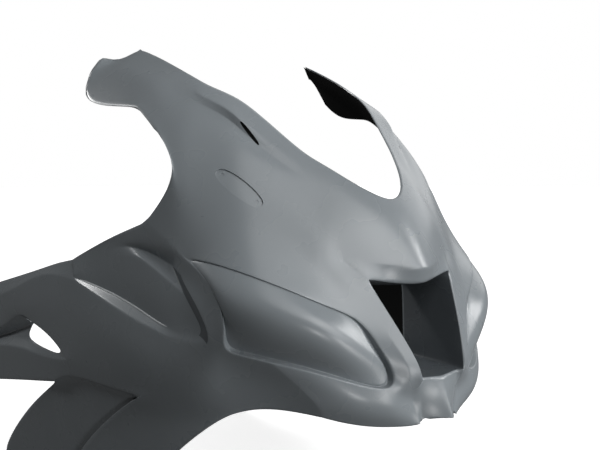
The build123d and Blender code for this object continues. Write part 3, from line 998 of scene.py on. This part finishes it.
    def bead_lines(self, shell: bpy.types.Object) -> list[list[Vector]]:
        """Finds the smoothed folds that carry a bead.

        Args:
            shell: The smoothed shell.

        Returns:
            The points of each fold, in order, in metres.
        """
        mesh = shell.data
        near: dict[int, list[int]] = {}
        for edge, crease in zip(mesh.edges, mesh.attributes["crease_edge"].data):
            if Edge.BEAD.near(crease.value):
                a, b = edge.vertices
                near.setdefault(a, []).append(b)
                near.setdefault(b, []).append(a)
        lines = []
        ends = [n for n, others in near.items() if len(others) == 1]
        while ends:
            line = [ends.pop()]
            while len(line) == 1 or line[-1] not in ends:
                line.append(next(n for n in near[line[-1]] if n not in line[-2:]))
            ends.remove(line[-1])
            sunk = self.bead_radius * self.bead_sink * MM
            lines.append([mesh.vertices[n].co - mesh.vertices[n].normal * sunk for n in line])
        return lines

    def add_beads(self, shell: bpy.types.Object, lines: list[list[Vector]]) -> None:
        """Joins a thin round bead, tapered to its ends, to the shell along each line.

        Args:
            shell: The dressed shell.
            lines: The points of each line, in metres.
        """
        curve = bpy.data.curves.new("bead", "CURVE")
        curve.dimensions = "3D"
        curve.bevel_depth = self.bead_radius * MM
        curve.bevel_resolution = self.rounding_steps
        # The bead's pale finish is a painted highlight along the fold
        curve.materials.append(self.bead_painted_highlight.material())
        for line in lines:
            spline = curve.splines.new("POLY")
            spline.points.add(len(line) - 1)
            for i, (point, spot) in enumerate(zip(spline.points, line)):
                share = i / (len(line) - 1)
                point.co = (*spot, 1.0)
                point.radius = min(1.0, self.bead_tip + self.bead_taper * min(share, 1 - share))
        place("bead", curve)
        bpy.ops.object.convert(target="MESH")
        shell.select_set(True)
        bpy.context.view_layer.objects.active = shell
        bpy.ops.object.join()

    def round_edges(
        self, shell: bpy.types.Object, edge: Edge, radius: float, finish: Face | None = None
    ) -> None:
        """Rounds the edges of one kind on the smoothed shell.

        Args:
            shell: The smoothed shell.
            edge: The kind of edge.
            radius: Size of the rounding, in millimetres.
            finish: The face whose finish the rounding gets, or none for that of the faces beside it.
        """
        mesh = shell.data
        if "bevel_weight_edge" not in mesh.attributes:
            mesh.attributes.new("bevel_weight_edge", "FLOAT", "EDGE")
        weights = mesh.attributes["bevel_weight_edge"].data
        for crease, weight in zip(mesh.attributes["crease_edge"].data, weights):
            weight.value = 1.0 if edge.near(crease.value) else 0.0
        # Clamped, the smallest face of the shell would shrink every rounding to nothing
        modify(
            shell,
            "BEVEL",
            limit_method="WEIGHT",
            width=radius * MM,
            segments=self.rounding_steps,
            material=finish.value if finish else -1,
            use_clamp_overlap=False,
        )

    def even_shading(self, shell: bpy.types.Object) -> None:
        """Shades the shell smoothly, with its broad faces kept flat beside the rounded folds.

        Args:
            shell: The finished shell, active and selected.
        """
        bpy.ops.object.shade_smooth_by_angle(angle=math.radians(self.sharp_degrees))
        modify(shell, "WEIGHTED_NORMAL", keep_sharp=True)

    def dress(self, shell: bpy.types.Object) -> None:
        """Gives the shell its finishes, in the order of its faces, and ties it to the frame.

        Args:
            shell: The shell, with a material slot number on each polygon.
        """
        for finish in (self.outer_finish, self.inner_finish, self.duct_painted_shade):
            shell.data.materials.append(finish.material())
        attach(shell, BODY)
        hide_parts(NODE)


@dataclass(frozen=True)
class SoftLamp:
    """A broad, far studio lamp: where its light comes from, how broad it looks and how strong it is."""

    name: str
    azimuth: float
    elevation: float
    breadth: float
    strength: float

    def build(self) -> None:
        """Adds the lamp; a strength of 1 shows a surface that faces it in its own colour."""
        data = bpy.data.lights.new(self.name, "SUN")
        data.angle = math.radians(self.breadth)
        data.energy = math.pi * self.strength
        place(self.name, data).rotation_euler = aim(self.azimuth, self.elevation)


@dataclass
class Studio:
    """White studio: a pale floor under the part, broad soft lamps and a pale surround."""

    floor_size: float = 40.0
    floor_colour: str = "#e8e8e8"
    floor_glow: float = 0.66
    dark_floor: str = "#2a2a2a"
    world_strength: float = 0.02
    gloss_share: float = 0.1
    lamps: Sequence[SoftLamp] = (
        SoftLamp("high_front_softbox", 0.0, 50.0, 45.0, 0.26),
        SoftLamp("front_softbox", 18.0, 28.0, 40.0, 0.42),
        SoftLamp("left_front_softbox", 58.0, 26.0, 18.0, 0.27),
        SoftLamp("left_softbox", 110.0, 30.0, 45.0, 0.16),
        SoftLamp("rear_softbox", 216.0, 38.0, 9.0, 0.27),
        SoftLamp("low_front_reflector", 12.0, -6.0, 18.0, 0.30),
        SoftLamp("low_right_reflector", -20.0, -10.0, 10.0, 0.14),
        SoftLamp("low_left_reflector", 100.0, -20.0, 40.0, 0.10),
    )

    def build(self) -> None:
        """Builds the floor, the lamps and the surround."""
        lowest = CAD_BOX[0].z
        bpy.ops.object.select_all(action="DESELECT")
        bpy.ops.mesh.primitive_plane_add(size=self.floor_size, location=(0, 0, lowest))
        floor = bpy.context.object
        floor.name = "studio_floor"
        floor.data.materials.append(self.floor_material())
        # The low reflectors stand for light thrown back by the paper, so it does not block them
        floor.visible_shadow = False
        for lamp in self.lamps:
            lamp.build()
        self.surround()

    def seen(self, tree: bpy.types.NodeTree) -> bpy.types.NodeSocket:
        """Finds how far a ray shows the white background.

        Args:
            tree: The node tree that asks.

        Returns:
            A share: 1 to the eye and through glass, less in a gloss, and 0 for light on the part.
        """
        paths = add_node(tree, "ShaderNodeLightPath").outputs
        gloss = add_node(
            tree, "ShaderNodeMath", operation="MULTIPLY", _0=paths["Is Glossy Ray"], _1=self.gloss_share
        )
        straight = add_node(
            tree, "ShaderNodeMath", operation="MAXIMUM", _0=paths["Is Camera Ray"], _1=gloss.outputs[0]
        )
        glass = paths["Is Transmission Ray"]
        either = add_node(tree, "ShaderNodeMath", operation="MAXIMUM", _0=straight.outputs[0], _1=glass)
        return either.outputs[0]

    def floor_material(self) -> bpy.types.Material:
        """Makes the floor's paper.

        Returns:
            A material that is white to the eye, keeps the part's shadow and throws little light back.
        """
        material, tree = new_material("white_paper")
        paper = add_node(tree, "ShaderNodeBsdfDiffuse", Color=linear(self.floor_colour))
        glow = add_node(tree, "ShaderNodeEmission", Strength=self.floor_glow)
        white = add_node(tree, "ShaderNodeAddShader", _0=paper.outputs[0], _1=glow.outputs[0])
        dark = add_node(tree, "ShaderNodeBsdfDiffuse", Color=linear(self.dark_floor))
        both = add_node(
            tree, "ShaderNodeMixShader", Fac=self.seen(tree), _1=dark.outputs[0], _2=white.outputs[0]
        )
        add_node(tree, "ShaderNodeOutputMaterial", Surface=both.outputs[0])
        return material

    def surround(self) -> None:
        """Sets the world: white to the eye, and a faint even light on the part."""
        world = bpy.data.worlds.new("studio_surround")
        bpy.context.scene.world = world
        world.use_nodes = True
        tree = world.node_tree
        tree.nodes.clear()
        pale = linear("#ffffff")
        white = add_node(tree, "ShaderNodeBackground", Color=pale, Strength=1.0)
        soft = add_node(tree, "ShaderNodeBackground", Color=pale, Strength=self.world_strength)
        both = add_node(
            tree, "ShaderNodeMixShader", Fac=self.seen(tree), _1=soft.outputs[0], _2=white.outputs[0]
        )
        add_node(tree, "ShaderNodeOutputWorld", Surface=both.outputs[0])


@dataclass
class PhotoCamera:
    """Camera at the photograph's viewing angle: ahead of the part, on its right, just above it."""

    spot: Point = (-0.8292, -0.7947, 0.0179)
    azimuth: float = -43.65
    elevation: float = 3.23
    focal_pixels: float = 950.0
    sensor_mm: float = 36.0

    def build(self) -> bpy.types.Object:
        """Builds the camera and makes it the scene's own.

        Returns:
            The camera.
        """
        data = bpy.data.cameras.new("photo_camera")
        data.sensor_width = self.sensor_mm
        data.lens = self.focal_pixels * self.sensor_mm / IMAGE_WIDTH
        camera = place("photo_camera", data)
        camera.location = self.spot
        camera.rotation_euler = aim(self.azimuth, self.elevation)
        bpy.context.scene.camera = camera
        return camera


def main() -> None:
    """Builds the part's looks, the studio and the camera, and logs the shell's face count and the camera's
    place.
    """
    logging.basicConfig(level=logging.INFO)
    bpy.context.scene.view_settings.view_transform = "Standard"
    shell = FairingShell().build()
    LOG.info("%s: %d faces", shell.name, len(shell.data.polygons))
    Studio().build()
    camera = PhotoCamera().build()
    LOG.info("%s at %s", camera.name, tuple(round(c, 3) for c in camera.location))


if __name__ == "__main__":
    main()
